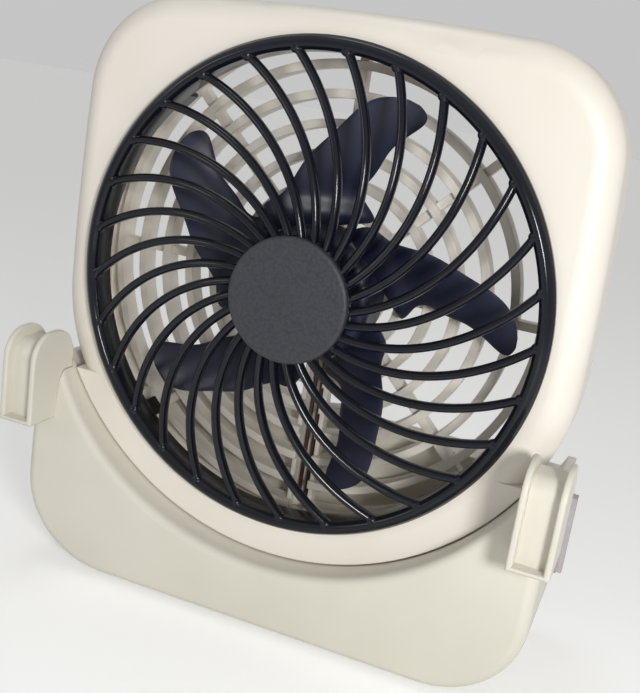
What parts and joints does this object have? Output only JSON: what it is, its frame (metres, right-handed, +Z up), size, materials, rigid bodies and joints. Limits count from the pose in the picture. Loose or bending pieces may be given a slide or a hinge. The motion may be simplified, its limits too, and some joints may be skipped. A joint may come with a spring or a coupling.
{
  "type": "portable camping fan",
  "caption": "Portable battery fan: a square tilting head with a spiral-ribbed front grille, set in a low cradle base with a side speed knob.",
  "frame": {"origin": "middle of the bounding box, on the surface that the rubber feet stand on", "axes": "+Z up, the front grille faces -Y, +X to the right seen from the front, the tilt axis runs along X"},
  "size_m": [0.1736, 0.071, 0.1871],
  "materials": {
    "head_plastic": "satin",
    "base_plastic": "satin",
    "navy_gloss": "gloss",
    "navy_textured": "fine texture",
    "navy_satin": "satin",
    "motor_steel": "brushed",
    "motor_black": "matte",
    "lead_jacket": "satin",
    "contact_brass": "bright",
    "screw_steel": "bright",
    "tube_plastic": "matte",
    "cell_can": "printed jacket left plain",
    "contact_steel": "plated",
    "knob_plastic": "satin",
    "switch_black": "matte",
    "foot_rubber": "matte"
  },
  "bodies": {
    "base": {"base_front_shell": "base_plastic", "base_rear_shell": "base_plastic", "base_screws": "screw_steel", "battery_cell_left": "cell_can", "battery_cell_right": "cell_can", "battery_contact_left": "contact_steel", "battery_contact_right": "contact_steel", "battery_tube_left": "tube_plastic", "battery_tube_right": "tube_plastic", "ear_left": "base_plastic", "ear_right": "base_plastic", "power_socket": "switch_black", "rotary_switch": "switch_black", "rubber_feet": "foot_rubber", "tilt_bush_left": "tube_plastic", "tilt_bush_right": "tube_plastic"},
    "head": {"head_front_shell": "head_plastic", "head_rear_shell": "head_plastic", "rear_grille": "head_plastic", "front_grille": "navy_gloss", "grille_hub_cap": "navy_textured", "motor_can": "motor_steel", "motor_end_cap": "motor_black", "motor_terminals": "contact_brass", "motor_screws": "screw_steel", "motor_leads": "lead_jacket", "head_screws": "screw_steel", "tilt_pin_left": "head_plastic", "tilt_pin_right": "head_plastic"},
    "impeller": {"impeller": "navy_satin", "motor_shaft": "motor_steel", "armature": "motor_steel"},
    "knob": {"speed_knob": "knob_plastic", "switch_spindle": "contact_steel"},
    "cap_left": {"battery_cap_left": "base_plastic", "battery_spring_left": "contact_steel"},
    "cap_right": {"battery_cap_right": "base_plastic", "battery_spring_right": "contact_steel"}
  },
  "joints": [
    {"name": "head_tilt", "type": "hinge", "parent": "base", "child": "head", "pos_m": [0, -0.0005, 0.0556], "axis": [-1, 0, 0], "range_deg": [0, 12]},
    {"name": "impeller_spin", "type": "hinge", "parent": "head", "child": "impeller", "pos_m": [0, -0.0145, 0.1066], "axis": [0, 1, 0], "continuous": true},
    {"name": "speed_turn", "type": "hinge", "parent": "base", "child": "knob", "pos_m": [0.0836, 0.0145, 0.0456], "axis": [1, 0, 0], "range_deg": [0, 90]},
    {"name": "cap_left_turn", "type": "hinge", "parent": "base", "child": "cap_left", "pos_m": [-0.0627, 0.0355, 0.0217], "axis": [0, -1, 0], "range_deg": [0, 60]},
    {"name": "cap_right_turn", "type": "hinge", "parent": "base", "child": "cap_right", "pos_m": [0.0627, 0.0355, 0.0217], "axis": [0, -1, 0], "range_deg": [0, 60]}
  ]
}
